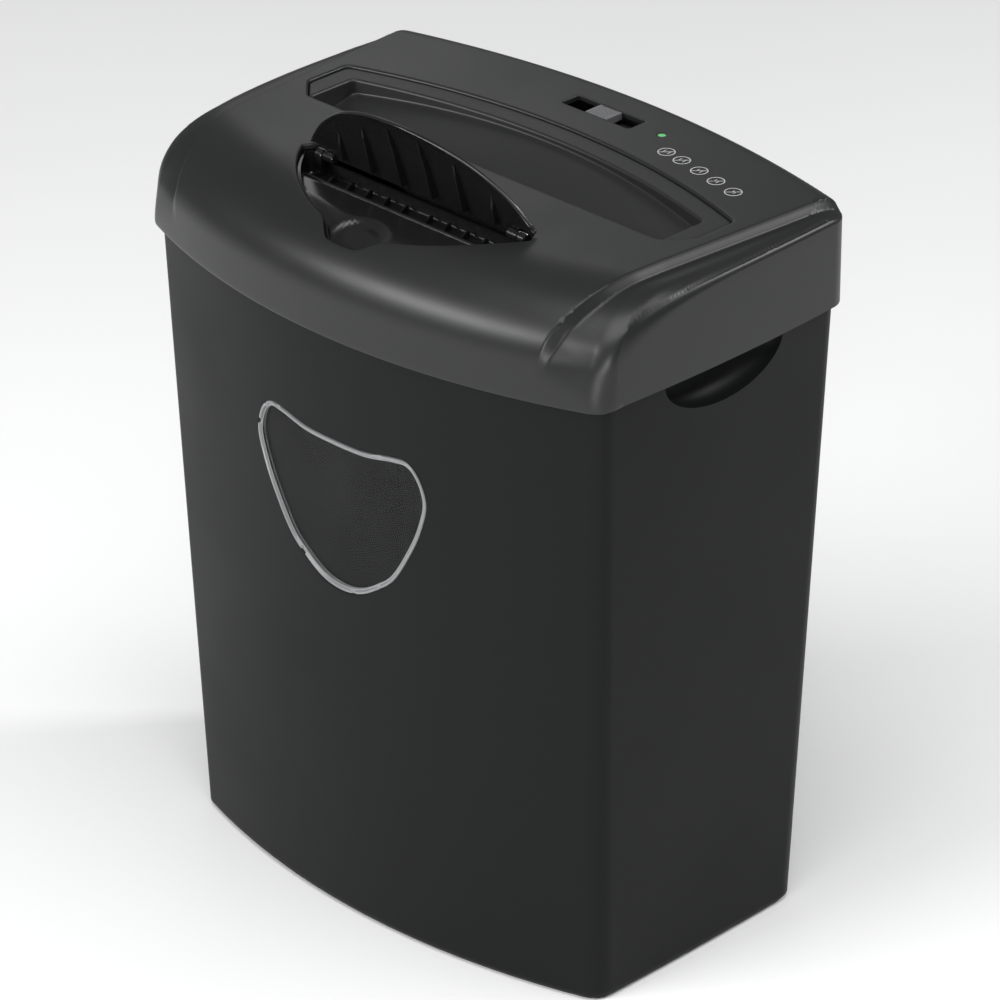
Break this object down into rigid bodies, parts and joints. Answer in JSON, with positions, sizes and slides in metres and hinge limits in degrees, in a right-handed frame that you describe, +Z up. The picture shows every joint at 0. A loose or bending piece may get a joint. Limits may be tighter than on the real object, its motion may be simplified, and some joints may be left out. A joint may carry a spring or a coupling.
{
  "type": "paper shredder",
  "caption": "Office paper shredder: bowed drive head with paper throat and flap-covered disc slot, on a tapered waste bin with a clear window and hand scoops.",
  "frame": {"origin": "on the floor, under the middle of the head's plan", "axes": "+X to the right seen from the front, +Y to the back, +Z up; the bowed front faces -Y"},
  "size_m": [0.3058, 0.217, 0.4161],
  "materials": {
    "head_plastic": "fine moulded satin, black",
    "bin_plastic": "fine moulded matte, black",
    "window_clear": "clear moulded styrene",
    "inner_plastic": "moulded black",
    "gloss_black": "polished black",
    "switch_grey": "satin grey",
    "led_green": "diffused lens",
    "rubber": "soft black",
    "zinc_steel": "zinc plated",
    "cutter_steel": "hardened, oiled",
    "bronze": "sintered bronze",
    "gear_nylon": "greased nylon",
    "comb_plastic": "glass-filled nylon",
    "can_steel": "drawn steel",
    "magnet": "ferrite",
    "armature": "laminations and copper",
    "brass": "turned",
    "carbon": "carbon",
    "board_green": "solder mask",
    "components": "potted parts",
    "ceramic": "ceramic case",
    "lead_red": "insulated wire",
    "lead_brown": "insulated wire",
    "plunger_red": "acetal"
  },
  "bodies": {
    "bin": {"bin": "bin_plastic", "bin_window": "window_clear"},
    "head": {"upper_housing": "head_plastic", "lower_housing": "inner_plastic", "paper_chute": "inner_plastic", "disc_chute": "gloss_black", "switch_body": "inner_plastic", "status_led": "led_green", "cord_inlet": "rubber", "left_plate": "zinc_steel", "right_plate": "zinc_steel", "tie_rods": "zinc_steel", "shaft_bushes": "bronze", "front_comb": "comb_plastic", "rear_comb": "comb_plastic", "gear_pins": "zinc_steel", "pin_clips": "zinc_steel", "motor_can": "can_steel", "motor_end_cap": "inner_plastic", "motor_magnets": "magnet", "motor_brushes": "carbon", "motor_screws": "zinc_steel", "thermal_cutout": "ceramic", "control_board": "board_green", "board_parts": "components", "board_screws": "zinc_steel", "housing_screws": "zinc_steel", "frame_screws": "zinc_steel", "paper_sensor": "inner_plastic", "interlock_switch": "inner_plastic", "motor_leads": "lead_red", "switch_leads": "lead_brown"},
    "disc_flap": {"disc_flap": "gloss_black"},
    "switch_knob": {"switch_knob": "switch_grey"},
    "rear_cutter": {"rear_shaft": "cutter_steel", "rear_cutters": "cutter_steel", "rear_sync_gear": "gear_nylon", "drive_gear": "gear_nylon"},
    "front_cutter": {"front_shaft": "cutter_steel", "front_cutters": "cutter_steel", "front_sync_gear": "gear_nylon"},
    "middle_gear": {"middle_gear": "gear_nylon"},
    "first_gear": {"first_gear": "gear_nylon"},
    "motor_rotor": {"motor_armature": "armature", "motor_pinion": "brass"},
    "interlock_plunger": {"interlock_plunger": "plunger_red"}
  },
  "joints": [
    {"name": "head_lift", "type": "slide", "parent": "bin", "child": "head", "axis": [0, 0, 1], "range_m": [0, 0.12]},
    {"name": "flap_hinge", "type": "hinge", "parent": "head", "child": "disc_flap", "pos_m": [0, -0.043, 0.3738], "axis": [-1, 0, 0], "range_deg": [-72, 23]},
    {"name": "switch_slide", "type": "slide", "parent": "head", "child": "switch_knob", "axis": [1, 0, 0], "range_m": [-0.006, 0.006]},
    {"name": "rear_cutter_spin", "type": "hinge", "parent": "head", "child": "rear_cutter", "pos_m": [0, -0.0085, 0.326], "axis": [1, 0, 0], "continuous": true},
    {"name": "front_cutter_spin", "type": "hinge", "parent": "head", "child": "front_cutter", "pos_m": [0, -0.0435, 0.326], "axis": [1, 0, 0], "continuous": true},
    {"name": "middle_gear_spin", "type": "hinge", "parent": "head", "child": "middle_gear", "pos_m": [0, 0.03134, 0.33668], "axis": [1, 0, 0], "continuous": true},
    {"name": "first_gear_spin", "type": "hinge", "parent": "head", "child": "first_gear", "pos_m": [0, 0.05735, 0.31636], "axis": [1, 0, 0], "continuous": true},
    {"name": "motor_spin", "type": "hinge", "parent": "head", "child": "motor_rotor", "pos_m": [0, 0.05332, 0.33921], "axis": [1, 0, 0], "continuous": true},
    {"name": "plunger_slide", "type": "slide", "parent": "head", "child": "interlock_plunger", "axis": [0, 0, -1], "range_m": [0, 0.003]}
  ],
  "couplings": [
    {"joint": "front_cutter_spin", "follows": "rear_cutter_spin", "ratio": -1},
    {"joint": "middle_gear_spin", "follows": "rear_cutter_spin", "ratio": -4.5},
    {"joint": "first_gear_spin", "follows": "rear_cutter_spin", "ratio": 20.25},
    {"joint": "motor_spin", "follows": "rear_cutter_spin", "ratio": -97.2},
    {"joint": "plunger_slide", "follows": "head_lift", "ratio": 0.025}
  ]
}
